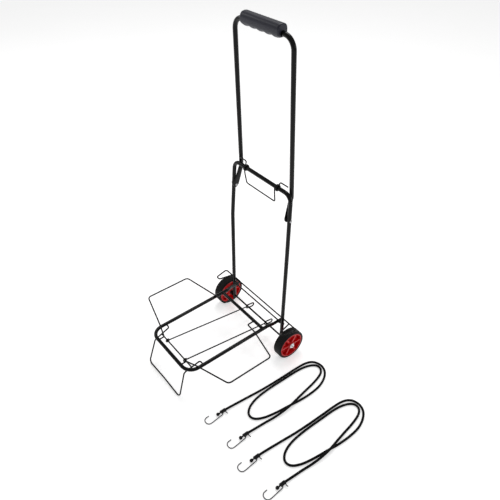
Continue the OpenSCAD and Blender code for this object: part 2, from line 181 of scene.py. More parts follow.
def gloss_paint(name, peel):
    """Stoved black gloss: orange peel, faint dust, and chips rubbed down to grey primer."""
    p = Paint(name)
    dust = p.noise(38, 5, 0.62).ramp(0.5, 0.8)
    rub = p.noise(150, 6, 0.7).ramp(0.655, 0.7)
    fleck = p.noise(1400, 2).ramp(0.6, 0.72)
    colour = p.mix(dust * 0.5, rgb(0.003, 0.003, 0.0033), rgb(0.007, 0.007, 0.0075))
    colour = p.mix(rub * 0.3 + fleck * 0.04, colour, rgb(0.03, 0.03, 0.031))
    p.bump(p.noise(peel, 2) + rub * -0.5, 0.12, 0.0004)
    return p.finish(Base_Color=colour, Roughness=0.14 + dust * 0.1 + rub * 0.25,
                    Coat_Weight=0.04 - rub * 0.03, Coat_Roughness=0.05,
                    Specular_IOR_Level=0.16)


def zinc_plate(name, turned_marks, light, dark):
    """Bright zinc: metal with fine turned rings, grey bloom and tiny pits."""
    p = Paint(name)
    ring = (p.from_axle() * turned_marks).sine()
    bloom = p.noise(420, 4, 0.6)
    colour = p.mix(bloom, light, dark)
    p.bump(ring * 0.35 + p.noise(2600, 2), 0.12, 0.0002)
    return p.finish(Base_Color=colour, Metallic=1.0, Roughness=0.22 + bloom * 0.2)


def moulded(name, base, worn, rough, grain, coat, shine):
    """Moulded plastic: a fine leather-like grain, faint flow marks and worn patches."""
    p = Paint(name)
    flow = p.noise(60, 4, 0.55)
    worn_here = p.noise(210, 5, 0.65).ramp(0.56, 0.78)
    pore = p.node("ShaderNodeTexVoronoi", {"feature": "SMOOTH_F1"},
                  {"Vector": p.place(), "Scale": grain})
    colour = p.mix(flow * 0.35 + worn_here * 0.5, base, worn)
    p.bump(pore + p.noise(grain * 2.2, 2) * 0.4, 0.22, 0.00035)
    return p.finish(Base_Color=colour, Roughness=rough + flow * 0.12 - worn_here * 0.07,
                    Coat_Weight=coat, Coat_Roughness=0.15, Specular_IOR_Level=shine)


def tyre_rubber():
    """Black rubber: patchy dust, rib tops lighter than the grooves and walls, and fine mould
    rings on the walls.
    """
    p = Paint("tyre rubber")
    radius = p.from_axle()
    dust = p.noise(90, 6, 0.68).ramp(0.42, 0.75)
    tread = radius.ramp(0.0488, 0.0497)
    colour = p.mix(dust * 0.6 + tread * 0.3, rgb(0.0045, 0.0045, 0.005),
                   rgb(0.015, 0.015, 0.0145))
    p.bump(p.noise(1700, 4, 0.6) + (radius * 9000).sine() * 0.12, 0.3, 0.0003)
    return p.finish(Base_Color=colour, Roughness=0.5 + dust * 0.25,
                    Specular_IOR_Level=0.15)


def red_moulding():
    """Glossy red moulding: slight sink marks, grime towards the boss, hairline scuffs."""
    p = Paint("red wheel plastic")
    radius = p.from_axle()
    sink = p.noise(55, 3)
    grime = (1 - radius.ramp(0.009, 0.018)) * 0.5 + radius.ramp(0.0375, 0.041) * 0.35
    scuff = p.noise(900, 5, 0.72).ramp(0.62, 0.72)
    colour = p.mix(sink, rgb(0.50, 0.003, 0.005), rgb(0.66, 0.006, 0.008))
    colour = p.mix(grime * p.noise(160, 5, 0.6), colour, rgb(0.16, 0.006, 0.008))
    p.bump(sink + scuff * -0.3 + p.noise(1500, 2) * 0.15, 0.12, 0.0006)
    return p.finish(Base_Color=colour, Roughness=0.24 + scuff * 0.2 + grime * 0.15,
                    Coat_Weight=0.05, Coat_Roughness=0.1, Specular_IOR_Level=0.25)


def woven_cover():
    """Braided cover: two families of slanting threads crossing over the cord's own UV.

    U counts round the cord and V along it, so sin(a u + b v) draws one family of ridges.
    """
    p = Paint("woven cord cover")
    where = p.place("UV")
    u, v = p.part(where, 0), p.part(where, 1)
    left = (u * (TAU * 8) + v * (TAU * 8)).sine()
    right = (u * (TAU * 8) - v * (TAU * 8)).sine()
    over = left.most(right)
    cross = (left * right).ramp(-0.4, 0.5)
    fuzz = p.noise(2600, 4, 0.7)
    fleck = (left * right).ramp(0.45, 0.8) * p.noise(260, 3).ramp(0.35, 0.65)
    colour = p.mix(over.ramp(-0.2, 1.0), rgb(0.002, 0.002, 0.0022),
                   rgb(0.008, 0.008, 0.0085))
    colour = p.mix(fleck * 0.25, colour, rgb(0.05, 0.05, 0.052))
    p.bump(over * 0.8 + cross * 0.3 + fuzz * 0.4, 0.7, 0.0005)
    return p.finish(Base_Color=colour, Roughness=0.62 + fuzz * 0.25, Specular_IOR_Level=0.1)


def drawn_wire(name, light, dark):
    """Bare drawn steel wire: streaks, a grey skin and a few dark oxide spots."""
    p = Paint(name)
    skin = p.noise(300, 5, 0.6)
    spot = p.noise(700, 4, 0.7).ramp(0.6, 0.72)
    colour = p.mix(skin * 0.6 + spot * 0.5, light, dark)
    p.bump(skin + spot * -0.4, 0.15, 0.0002)
    return p.finish(Base_Color=colour, Metallic=1.0, Roughness=0.3 + skin * 0.2)


TUBE_PAINT = gloss_paint("black tube paint", 900)
WIRE_PAINT = gloss_paint("black wire paint", 1300)
ZINC = zinc_plate("bright zinc", 16000, rgb(0.88, 0.89, 0.9), rgb(0.68, 0.69, 0.71))
# the rivets' zinc is a darker copy of the caps' zinc: painted shade, so that the rivet heads
# do not mirror the white floor
SHADE_DARKENED_ZINC = zinc_plate("zinc darkened as painted shade", 9000, rgb(0.5, 0.5, 0.51), rgb(0.3, 0.3, 0.31))
BLACK_PLASTIC = moulded("black plastic", rgb(0.006, 0.006, 0.0065),
                        rgb(0.014, 0.014, 0.015), 0.4, 1800, 0.0, 0.15)
GRIP_PLASTIC = moulded("grip plastic", rgb(0.012, 0.0125, 0.023),
                       rgb(0.03, 0.031, 0.05), 0.33, 1500, 0.05, 0.35)
RUBBER = tyre_rubber()
RED = red_moulding()
COVER = woven_cover()
HOOK_WIRE = drawn_wire("bare hook wire", rgb(0.13, 0.13, 0.133), rgb(0.05, 0.05, 0.052))
COIL_WIRE = drawn_wire("dark coil wire", rgb(0.035, 0.035, 0.036),
                       rgb(0.012, 0.012, 0.012))


# ---- surfaces ----

def unit(v):
    """Vectors along the last axis, each divided by its length."""
    v = np.asarray(v, float)
    return v / np.linalg.norm(v, axis=-1, keepdims=True)


def flip(points):
    """The same points on the other side of the cart: x becomes -x."""
    return np.asarray(points, float) * (-1, 1, 1)


def grid_piece(name, sheets, material, body, stands_for=(), uv=None):
    """A mesh of grids of points, each (rows, columns, 3) and closed round its columns.

    Point (i, j) joins (i + 1, j), (i + 1, j + 1) and (i, j + 1), where j wraps round. Where
    the last row repeats the first, the rows wrap round too, as on a ring. Otherwise both end
    rows close in a fan about their middle, so each sheet is a closed skin.
    """
    points, faces, start = [], [], 0
    for sheet in sheets:
        looped = np.allclose(sheet[0], sheet[-1], atol=1e-7)
        sheet = sheet[:-1] if looped else sheet
        rows, columns = sheet.shape[:2]
        number = start + np.arange(rows * columns).reshape(rows, columns)
        after = np.roll(number, -1, axis=1)
        here = slice(None) if looped else slice(None, -1)
        quads = np.stack([number, after, np.roll(after, -1, 0), np.roll(number, -1, 0)], -1)
        faces.append(quads[here].reshape(-1, 4))
        points.append(sheet.reshape(-1, 3))
        start += rows * columns
        if looped:
            continue
        for row, flip_it in ((0, True), (rows - 1, False)):
            points.append(sheet[row].mean(0, keepdims=True))
            a, b = (after, number) if flip_it else (number, after)
            faces.append(np.stack([np.full(columns, start), a[row], b[row]], -1))
            start += 1
    return put(name, np.concatenate(points), faces, material, body, stands_for, uv)


def put(name, points, faces, material, body, stands_for, uv):
    """Makes the mesh, turns its faces outwards, smooths it and sets it riding on its body."""
    mesh = bpy.data.meshes.new(name)
    corners = np.concatenate([f.reshape(-1) for f in faces])
    sizes = np.concatenate([np.full(len(f), f.shape[1]) for f in faces])
    mesh.vertices.add(len(points))
    mesh.vertices.foreach_set("co", np.ascontiguousarray(points, np.float32).reshape(-1))
    mesh.loops.add(len(corners))
    mesh.loops.foreach_set("vertex_index", corners.astype(np.int32))
    mesh.polygons.add(len(sizes))
    mesh.polygons.foreach_set("loop_start", (np.cumsum(sizes) - sizes).astype(np.int32))
    mesh.polygons.foreach_set("use_smooth", np.ones(len(sizes), bool))
    if uv is not None:
        layer = mesh.uv_layers.new(name="along")
        held = uv[corners]
        # a face over the seam has corners near U = 0 and near U = 1: the low ones move to 1
        furthest = np.maximum.reduceat(held[:, 0], np.cumsum(sizes) - sizes)
        held[(np.repeat(furthest, sizes) > 0.7) & (held[:, 0] < 0.3), 0] += 1
        layer.data.foreach_set("uv", held.astype(np.float32).reshape(-1))
    mesh.update()
    mesh.validate()
    skin = bmesh.new()
    skin.from_mesh(mesh)
    bmesh.ops.recalc_face_normals(skin, faces=skin.faces)
    skin.to_mesh(mesh)
    skin.free()
    mesh.materials.append(material)
    piece = bpy.data.objects.new(name, mesh)
    bpy.context.scene.collection.objects.link(piece)
    sharp = piece.modifiers.new("edges", "EDGE_SPLIT")
    sharp.split_angle = SHARP_EDGE
    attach(piece, body)
    if stands_for:
        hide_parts(*stands_for)
    return piece


def bent(points, bends):
    """A bar's centre line: straights, and arcs of the given radii at its inner points.

    A corner p turned by t with radius b is cut b tan(t / 2) short on both sides, and the
    arc's centre lies b / cos(t / 2) from p along the corner's inner bisector. Arc points are
    centre + b (cos s e1 + sin s u), s from 0 to t, e1 from the centre to the arc's start.
    """
    p = np.asarray(points, float)
    along = unit(np.diff(p, axis=0))
    line = [p[:1]]
    for i, bend in enumerate(bends, 1):
        u, v = along[i - 1], along[i]
        turn = math.acos(np.clip(u @ v, -1, 1))
        centre = p[i] + unit(v - u) * bend / math.cos(turn / 2)
        e1 = unit(p[i] - u * bend * math.tan(turn / 2) - centre)
        s = np.linspace(0, turn, max(3, int(turn / BEND_STEP) + 2))[:, None]
        line.append(centre + bend * (np.cos(s) * e1 + np.sin(s) * u))
    line.append(p[-1:])
    return np.concatenate(line)


def framed(line):
    """Two unit vectors across each point of a line, carried along it without twist."""
    inner = unit(line[1:-1] - line[:-2]) + unit(line[2:] - line[1:-1])
    ahead = unit(np.concatenate([line[1:2] - line[:1], inner, line[-1:] - line[-2:-1]]))
    side = np.empty_like(line)
    first = np.cross(ahead[0], (0, 0, 1) if abs(ahead[0, 2]) < 0.9 else (0, 1, 0))
    side[0] = unit(first)
    for i in range(1, len(line)):
        carried = side[i - 1] - ahead[i] * (side[i - 1] @ ahead[i])
        side[i] = carried / np.linalg.norm(carried)
    return side, np.cross(ahead, side), ahead


def swept(line, radius, sides=24, ends="round"):
    """A round skin along a line: centre + radius (cos a side + sin a up), a from 0 to 2 pi.

    Each end's edge is rounded off by lip, a share of the radius: rings of radius
    radius - lip (1 - cos q) lie lip (1 - sin q) inside the end, q up to a quarter turn.
    """
    side, up, ahead = framed(line)
    lip = radius * (0.18 if ends == "round" else 0.05)
    q = np.linspace(0, math.pi / 2, 4)[1:, None]
    inside = lip * (1 - np.sin(q))
    rings = radius - lip * (1 - np.cos(q[:, 0]))
    trimmed = line.copy()
    trimmed[0] += ahead[0] * lip
    trimmed[-1] -= ahead[-1] * lip
    centre = np.concatenate([(line[0] + ahead[0] * inside)[::-1], trimmed,
                             line[-1] - ahead[-1] * inside])
    size = np.concatenate([rings[::-1], np.full(len(line), radius), rings])
    side, up = (np.pad(v, ((3, 3), (0, 0)), "edge")[:, None] for v in (side, up))
    a = (np.arange(sides) * TAU / sides)[:, None]
    return centre[:, None] + size[:, None, None] * (np.cos(a) * side + np.sin(a) * up)


def lathe(profile, x, y, z, around, mirror):
    """A turned skin: profile rows (radius, offset along X) spun about the axis at (y, z).

    Point = (x + mirror * offset, y + radius cos a, z + radius sin a).
    """
    radius, along = np.asarray(profile, float).T
    a = np.arange(around) * TAU / around * mirror
    ones = np.ones_like(a)
    return np.stack([x + mirror * along[:, None] * ones,
                     y + radius[:, None] * np.cos(a), z + radius[:, None] * np.sin(a)], -1)


# ---- tubes and wires ----

FRAME_R, HANDLE_R, DECK_R, CROSSBAR_R = 6, 6.35, 5.5, 5.3      # mm, the tubes
AXLE_R, LATCH_R = 3, 1.9
# right leg of the lower frame: its lower end, its kink and its corner with the top bar
LEG_END, LEG_KINK, LEG_TOP = (124, 0, 40), (127.5, 3.2, 391), (122, 10.9, 578.7)
# handle: its top, its lean back towards the feet, and its rivets with the frame
TOP_Y, TOP, LEAN, FOOT_Z = 8.1, 982.0, 0.0411, 566.0
FOOT = (109.2, TOP_Y + LEAN * (TOP - FOOT_Z), FOOT_Z)
PIVOT = (113.4, 7.795, 503.0)
EAR_HALF_T = 1.7     # half the thickness of the handle's flattened foot
# platform: the front of its tube, its slope, its rivets, and the bars across it
DECK_FRONT, DECK_FRONT_Z = 338, 104.2
DECK_RISE = 6.6 / DECK_FRONT
HINGE = (109.6, 0.64, 110.4)
CROSSBAR_Y, CROSS_WIRE_Y = -62, -6.8
GUARD_Z = 119.7
# stand: the bar on the floor, and the bar that the links pull
STAND_FRONT, CRANK_Y = -367.3, -314.5
# links: place, ring, and the loop round the axle
LINK_X, EYE_R, LOOP_RISE, LOOP_LENGTH = 49, 5.0, 0.7, 18.6
LOOP_R = AXLE_R + WIRE_R + 1.5
BLEND = np.linspace(0, 1, 14)      # steps from a round tube to its flattened end


def deck_z(y):
    """Height of the platform's plane: front height + (y + front) * rise."""
    return DECK_FRONT_Z + (y + DECK_FRONT) * DECK_RISE


def both(right_half):
    """A route from its right end to the middle, then its mirror image back out."""
    right = np.asarray(right_half, float)
    return np.concatenate([right, flip(right)[::-1]])


def bar_piece(name, lines, radius, material, body, node, sides=24, ends="round"):
    """One or more bars of one radius, in millimetres, as a piece that stands for a node."""
    sheets = [swept(at(line), radius / 1000, sides, ends) for line in lines]
    return grid_piece(name, sheets, material, body, (node,))


def weld(spot, reach, axis_a, axis_b):
    """A small weld bead: a sphere flattened along the two bars it joins, rippled round.

    Point = spot + reach (1 + 0.08 sin 5a) (cos q e3 + sin q (cos a e1 + 0.8 sin a e2)).
    """
    e1 = unit(axis_a)
    e3 = unit(np.cross(axis_a, axis_b))
    e2 = np.cross(e3, e1)
    q = np.linspace(0.02, math.pi - 0.02, 9)[:, None, None]
    a = (np.arange(16) * TAU / 16)[None, :, None]
    ripple = 1 + 0.08 * np.sin(5 * a)
    return at(np.asarray(spot, float) + reach * ripple * (
        np.cos(q) * e3 + np.sin(q) * (np.cos(a) * e1 + 0.8 * np.sin(a) * e2)))


def flat_end(points, half_sizes, sides=40):
    """A tube's end pressed flat: superellipse sections of changing half width, depth and p.

    Section point = centre + |cos a|^(2/p) wide * X + |sin a|^(2/p) deep * across, with the
    signs of the cosine and sine, where across is perpendicular to X and to the route.
    """
    line = np.asarray(points, float)
    ahead = unit(np.gradient(line, axis=0))
    across = unit(np.cross(ahead, (1, 0, 0)))
    a = np.arange(sides) * TAU / sides
    wide, deep, p = np.asarray(half_sizes, float).T
    c = np.sign(np.cos(a)) * np.abs(np.cos(a)) ** (2 / p[:, None])
    s = np.sign(np.sin(a)) * np.abs(np.sin(a)) ** (2 / p[:, None])
    return at(line[:, None] + (wide[:, None] * c)[..., None] * np.array((1.0, 0, 0))
              + (deep[:, None] * s)[..., None] * across[:, None])


def ease(a, b, t):
    """From a to b as t goes 0 to 1, level at both ends: a + (b - a) (3 t^2 - 2 t^3)."""
    a, b, t = np.asarray(a, float), np.asarray(b, float), np.asarray(t, float)[:, None]
    return a + (b - a) * (3 * t ** 2 - 2 * t ** 3)


# lower frame
frame_line = bent(both([LEG_END, LEG_KINK, LEG_TOP]), [160, 24, 24, 160])
bar_piece("frame_tube", [frame_line], FRAME_R, TUBE_PAINT, "frame",
          "lower_frame", 32, "flat")

# handle: the tube, and its two feet pressed flat for the rivets
handle_line = bent(both([FOOT, (107.5, TOP_Y, TOP)]), [30, 30])


def handle_foot(side):
    """From the round tube down to a flat ear round the rivet.

    Counted along the tube from the rivet, the blend ends 15 mm before it, the ear is even to
    9 mm before it, and the tip lies 13.2 sin q beyond a line 4 mm before it.
    """
    start, ear = np.array(FOOT) * (side, 1, 1), np.array(PIVOT) * (side, 1, 1)
    run = unit(ear - start)
    centre = np.concatenate([ease(start, ear - run * 15, BLEND), [ear - run * 9]])
    size = ease((6.36, 6.36, 2.0), (EAR_HALF_T, 9.4, 3.4), BLEND)
    size = np.concatenate([size, size[-1:]])
    q = np.linspace(0.15, math.pi / 2 - 0.02, 8)[:, None]
    tip = ear - run * 4 + run * (13.2 * np.sin(q))
    tip_size = np.concatenate([EAR_HALF_T * (0.55 + 0.45 * np.cos(q) ** 0.3),
                               9.4 * np.cos(q), np.full_like(q, 3.4)], 1)
    return flat_end(np.concatenate([centre, tip]), np.concatenate([size, tip_size]))


grid_piece("handle_tube_skin",
           [swept(at(handle_line), HANDLE_R / 1000, 36, "flat"),
            handle_foot(1), handle_foot(-1)],
           TUBE_PAINT, "handle", ("handle_tube",))

# platform: tube, flattened ends, crossbar and the wires that are welded to it
DECK_END = (105.5, -44, deck_z(-44))
deck_line = bent(both([DECK_END, (103.7, -DECK_FRONT, DECK_FRONT_Z)]), [35, 35])


def deck_ear(side):
    """The side tube's rear end: round to a flat ear, 14.2 mm deep, with a rounded tip.

    The ear runs from 22 mm in front of the axle to 5.4 mm behind, and the tip 5.1 mm more.
    """
    start = np.array(DECK_END) * (side, 1, 1)
    ear = np.array((HINGE[0] * side, -22.0, HINGE[2]))
    tip = np.array((HINGE[0] * side, 5.4, HINGE[2]))
    centre = ease(start, ear, BLEND)
    size = ease((5.52, 5.52, 2.0), (1.62, 7.1, 4.0), BLEND)
    q = np.linspace(0, math.pi / 2 - 0.03, 9)[:, None]
    nose = tip + np.array((0, 5.1, 0)) * np.sin(q)
    nose_size = np.concatenate([np.full_like(q, 1.62) * (0.6 + 0.4 * np.cos(q) ** 0.3),
                                7.1 * np.cos(q) ** 0.7, np.full_like(q, 4.0)], 1)
    return flat_end(np.concatenate([centre, nose]), np.concatenate([size, nose_size]))


grid_piece("deck_tube_skin", [swept(at(deck_line), DECK_R / 1000, 32, "flat"),
                              deck_ear(1), deck_ear(-1)],
           TUBE_PAINT, "platform", ("deck_tube",))
CROSSBAR_Z = deck_z(CROSSBAR_Y)
crossbar = [(x, CROSSBAR_Y, CROSSBAR_Z) for x in (100.4, 0, -100.4)]
bar_piece("deck_crossbar_skin", [crossbar], CROSSBAR_R, TUBE_PAINT, "platform",
          "deck_crossbar", 32, "flat")
guard = [(147.5, 8.9, GUARD_Z + 0.5), (158, -38, GUARD_Z), (172, -38, GUARD_Z),
         (182, 9.5, GUARD_Z)]
bar_piece("guard_wire_skin", [bent(both(guard), [6, 6, 7, 7, 6, 6])], WIRE_R, WIRE_PAINT,
          "platform", "guard_wire")
bar_piece("cross_wire_skin", [[(x, CROSS_WIRE_Y, GUARD_Z) for x in (111.2, 0, -111.2)]],
          WIRE_R, WIRE_PAINT, "platform", "cross_wire")
beads = []
for side in (-1, 1):
    beads += [weld((HINGE[0] * side, y, 117.9), 2.5, (1, 0, 0), (0, 1, 0))
              for y in (9.4, CROSS_WIRE_Y)]
    beads += [weld((147.6 * side, 8.7, 119.8), 2.7, (1, 0, 0), (0, 1, 0))]
    beads += [weld((100.1 * side, CROSSBAR_Y, CROSSBAR_Z + up), 2.6, (0, 1, 0), (1, 0, 0))
              for up in (-4.4, 4.4)]
grid_piece("deck_welds", beads, WIRE_PAINT, "platform")

# front stand and its crank bar
STAND_ARM, STAND_ELBOW = np.array((85.5, -285.5, 105)), np.array((82, -340, 88.5))
ARM_SPAN = STAND_ELBOW - STAND_ARM
CRANK = STAND_ARM + ARM_SPAN * (CRANK_Y - STAND_ARM[1]) / ARM_SPAN[1]
stand = [(101.5, *STAND_ARM[1:]), STAND_ARM, STAND_ELBOW, (87, STAND_FRONT, WIRE_R)]
stand_route = np.concatenate([stand, [(0, STAND_FRONT, WIRE_R + 4.5)], flip(stand)[::-1]])
bar_piece("stand_wire_skin", [bent(stand_route, [6, 10, 12, 60, 12, 10, 6])], WIRE_R,
          WIRE_PAINT, "stand", "stand_wire")
bar_piece("crank_bar_skin", [[CRANK, (0, CRANK[1], CRANK[2]), flip(CRANK)]], WIRE_R,
          WIRE_PAINT, "stand", "crank_bar", ends="flat")
grid_piece("crank_welds", [weld(CRANK * (s, 1, 1) - (s * 1.2, 0, 0), 2.8, (1, 0, 0),
                                ARM_SPAN) for s in (-1, 1)],
           WIRE_PAINT, "stand")


def circle_arc(centre, e1, e2, radius, start, stop, count):
    """Points centre + radius (cos s e1 + sin s e2), with s from start to stop in turns."""
    s = np.linspace(start, stop, count)[:, None] * TAU
    return np.asarray(centre, float) + radius * (np.cos(s) * e1 + np.sin(s) * e2)


def link_route(x):
    """One wire: a ring round the crank bar, the rod, and a long loop closed on itself.

    The loop is a half circle in front of the axle and one behind it, joined by straights
    along the rod, so that the axle can slide in it.
    """
    ring = np.array((x, CRANK[1], CRANK[2]))
    axle = np.array((x, 0, AXLE_Z))
    along = unit(axle - ring)
    up = np.cross((1.0, 0, 0), along)
    near = axle + up * LOOP_RISE
    far = near + along * LOOP_LENGTH
    eye = circle_arc(ring, along, up, EYE_R, 0.03, 1.0, 40)
    loop = np.concatenate([circle_arc(near, -up, -along, LOOP_R, 0.25, 0.0, 12),
                           circle_arc(far, -up, along, LOOP_R, 0.0, 0.5, 22),
                           circle_arc(near, up, -along, LOOP_R, 0.0, 0.235, 12)])
    return np.concatenate([eye, loop])


for mark, side in (("l", -1), ("r", 1)):
    bar_piece(f"link_{mark}_skin", [link_route(LINK_X * side)], WIRE_R, WIRE_PAINT, "links",
              f"link_{mark}", 20)

# side wings
WING_AXIS_X, WING_REST = 62, 8.4      # the pins' place, and the wire's height on the tube
WING = [(WING_AXIS_X, -DECK_FRONT, DECK_FRONT_Z), (WING_AXIS_X, -318, deck_z(-318)),
        (104.6, -306, deck_z(-306) + WING_REST), (220, -279, 130), (220, -127, 130),
        (105.2, -95, deck_z(-95) + WING_REST), (WING_AXIS_X, -88, deck_z(-88)),
        (WING_AXIS_X, CROSSBAR_Y, CROSSBAR_Z)]
for mark, side, body in (("l", -1, "wing_left"), ("r", 1, "wing_right")):
    bar_piece(f"wing_{mark}_skin",
              [bent(np.array(WING) * (side, 1, 1), [5, 30, 12, 12, 30, 5])], WIRE_R,
              WIRE_PAINT, body, f"wing_{mark}")


# latch: coils round the frame's top bar, the bail below and a horn above on each side
def latch_route(side):
    """From the bail's middle up to the top bar, 2.27 turns round it, then out as a horn.

    The coil is centre + ring (-cos s Y + sin s Z), with x growing by pitch each turn.
    """
    centre = np.array((65.0, 10.9, 578.7))
    ring, pitch = 8.0, 2.9
    s = np.linspace(0, 2.27, 90)[:, None]
    turns = centre + np.concatenate(
        [s * pitch, -ring * np.cos(s * TAU), ring * np.sin(s * TAU)], 1)
    bail = bent([(0, 8, 532.7), (62, 8, 532.7), (65, 2.95, 568), tuple(turns[0])], [6, 40])
    horn = bent([tuple(turns[-1]), (73.4, 15.6, 595.9), (104, 15.6, 595.9)], [5])
    return np.concatenate([bail[:-1], turns, horn[1:]]) * (side, 1, 1)


latch_line = np.concatenate([latch_route(1)[::-1], latch_route(-1)[1:]])
bar_piece("latch_wire_skin", [latch_line], LATCH_R, WIRE_PAINT, "latch",
          "latch_wire", 18)


# ---- grip ----

GRIP_RISE = 5.0      # mm, the grip's middle above the tube's centre line


def grip_skin():
    """The moulded grip: a rounded section, higher above the tube than below it.

    Section: |y / wide|^2.7 + |z / high|^2.7 = 1 about its own middle, so the radius at
    angle a is (|cos a / wide|^2.7 + |sin a / high|^2.7)^(-1 / 2.7). Five hollows lift the
    underside by 2.6 (1 - |cos|^0.8) along x, a 0.5 mm ridge runs along the top, and each end
    shrinks by lip (1 - cos q) while x moves on by lip sin q, then turns in to the tube.
    """
    half, high, wide, lip, power = 70.0, 16.5, 15.0, 4.0, 2.7
    a = (np.arange(112) + 0.5) * TAU / 112
    radius = (np.abs(np.cos(a) / wide) ** power
              + np.abs(np.sin(a) / high) ** power) ** (-1 / power)
    q = np.linspace(0, math.pi / 2, 7)
    middle = np.linspace(-half + lip, half - lip, 170)[1:-1]
    x = np.concatenate([-half + lip * (1 - np.sin(q[::-1])), middle,
                        half - lip * (1 - np.sin(q))])
    inset = np.concatenate([lip * (1 - np.cos(q[::-1])), np.zeros(len(middle)),
                            lip * (1 - np.cos(q))])
    pitch = 2 * (half - 2) / 5
    hollow = 2.6 * (1 - np.abs(np.cos(np.pi * (x / pitch + 1))) ** 0.8)
    under = np.clip((-np.sin(a) - 0.45) / 0.4, 0, 1) ** 2
    under = under * (3 - 2 * np.sqrt(under))
    ridge = 0.5 * np.exp(-((a - np.pi / 2) / 0.06) ** 2)
    r = radius[None] - inset[:, None] - hollow[:, None] * under[None] + ridge[None]
    y, z = r * np.cos(a), GRIP_RISE + r * np.sin(a)
    bore = np.arctan2(z[:1], y[:1])
    x = np.concatenate([x[:1] + 1.2, x[:1], x, x[-1:], x[-1:] - 1.2])
    mouth = np.array([[6.5], [7.3]])      # mm, the rings where the end meets the tube
    y = np.concatenate([mouth * np.cos(bore), y, mouth[::-1] * np.cos(bore)])
    z = np.concatenate([mouth * np.sin(bore), z, mouth[::-1] * np.sin(bore)])
    return at(np.stack([x[:, None] + 0 * y, TOP_Y + y, TOP + z], -1))


grid_piece("grip_skin", [grip_skin()], GRIP_PLASTIC, "handle", ("grip",))


# ---- wheels ----

WHEEL_X = 159.0      # mm, the middle of each wheel
CAP_X = 175.9        # mm, the inner face of each axle cap
CAP_DIMPLE_X = 178.95      # mm, the dark dimple in the cap's crown
WEB, FRONT_RISE, BACK_RISE = 2.6, 12.0, 11.2      # mm, a hub's faces from its middle


def tyre_profile():
    """(radius, offset) round a tyre: five tread ribs, grooves, shoulders, beaded walls."""
    ribs = [(AXLE_Z - 0.95 * (1 - min(1.0, 1.6 * abs(math.sin(math.pi * (o + 13) / 5.2)))),
             o) for o in np.linspace(-13, 13, 91)]
    wall = [(48.9, 13.9), (47.6, 14.7), (46.3, 14.95), (45.7, 14.6), (45.2, 14.95),
            (44.2, 14.95), (43.6, 14.5), (43.1, 13.6)]
    left = [(r, -o) for r, o in wall[::-1]]
    return left + ribs + wall


def hub_face(x, out, mirror, back=False):
    """One face of a hub, as an offset from the wheel's middle by radius r and angle a.

    offset = web + rise * (most(0.8 spoke, rim, boss) + fillet), and the boss goes on out to
    about `out`. Spoke, rim and boss are smooth steps from 0 to 1: six spokes, full within
    2.6 mm of their lines and gone at 3.8 mm, the rim from r = 37.6 to 38.9 mm, and the boss
    falling from 10.6 to 12.4 mm. The fillet fades out over 4 mm beside spokes and boss.
    """
    def step(v, low, high):
        """0 at low, 1 at high, and smooth between them."""
        s = np.clip((v - low) / (high - low), 0, 1)
        return s * s * (3 - 2 * s)
    r = np.concatenate([np.linspace(3.06, 13, 18), np.linspace(13.5, 36.5, 26),
                        np.linspace(37, 42.9, 16)])[:, None]
    a = (np.arange(240) * TAU / 240)[None]
    gap = np.abs((a * 6 / TAU + 0.5) % 1 - 0.5) * TAU / 6 * r      # mm to the nearest spoke
    spoke = 1 - step(gap, 2.6, 3.8)
    rim = step(r, 37.6, 38.9)
    boss = 1 - step(r, 10.6, 12.4)
    raised = np.maximum(np.maximum(spoke * 0.8, rim), boss)
    fillet = 0.12 * (1 - step(np.minimum(gap - 3.8, r - 12.4), 0, 4)) * (1 - raised)
    depth = WEB + (BACK_RISE if back else FRONT_RISE) * np.clip(raised + fillet, 0, 1)
    crown = boss * (out - WEB - FRONT_RISE) * (1 - step(r, 8.6, 10.8)) + boss * 0.35
    edge = -0.9 * step(r, 42.0, 42.9)
    face = depth + crown + edge
    if back:
        face = -face
    y, z = r * np.cos(a * mirror), r * np.sin(a * mirror)
    return np.stack([x + mirror * face, AXLE_Y + y, AXLE_Z + z], -1) / 1000


def wheel(mark, side, body):
    """Tyre and hub of one wheel."""
    x = side * WHEEL_X
    ring = lathe(tyre_profile() + [(43.0, 10), (43.0, -10)], x, AXLE_Y, AXLE_Z, 144, side)
    closed = np.concatenate([ring, ring[:1]]) / 1000
    grid_piece(f"tyre_{mark}_skin", [closed], RUBBER, body, (f"tyre_{mark}",))
    front = hub_face(x, 16.6, side)
    back = hub_face(x, 17.6, side, back=True)
    skin = np.concatenate([back, front[::-1]])
    skin = np.concatenate([skin, skin[:1]])
    grid_piece(f"hub_{mark}_skin", [skin], RED, body, (f"hub_{mark}",))


wheel("l", -1, "wheel_left")
wheel("r", 1, "wheel_right")


def cap_profile():
    """(radius, offset) of a push-on cap: rolled flange, coned wall, domed crown, dimple."""
    return [(3.1, 0.0), (8.2, 0.0), (8.6, 0.35), (8.3, 0.8), (7.2, 1.05), (6.7, 1.6),
            (6.35, 2.8), (5.6, 3.75), (4.6, 4.1), (3.2, 4.15), (2.6, 3.7), (2.2, 3.2),
            (0.02, 3.05)]


for mark, side in (("l", -1), ("r", 1)):
    cap = lathe(cap_profile(), side * CAP_X, AXLE_Y, AXLE_Z, 64, side) / 1000
    grid_piece(f"axle_cap_{mark}_skin", [cap], ZINC, "frame",
               (f"axle_cap_{mark}",))
    pit = lathe([(0.02, 0), (2.3, 0.0), (2.35, 0.1), (2.0, 0.22), (0.02, 0.26)],
                side * CAP_DIMPLE_X, AXLE_Y, AXLE_Z, 32, side) / 1000
    grid_piece(f"axle_cap_{mark}_centre", [pit], BLACK_PLASTIC, "frame")


# ---- rivets, plugs and spacers ----

RIVET_HEAD, RIVET_DOME, RIVET_SHANK = 4.2, 2.2, 3


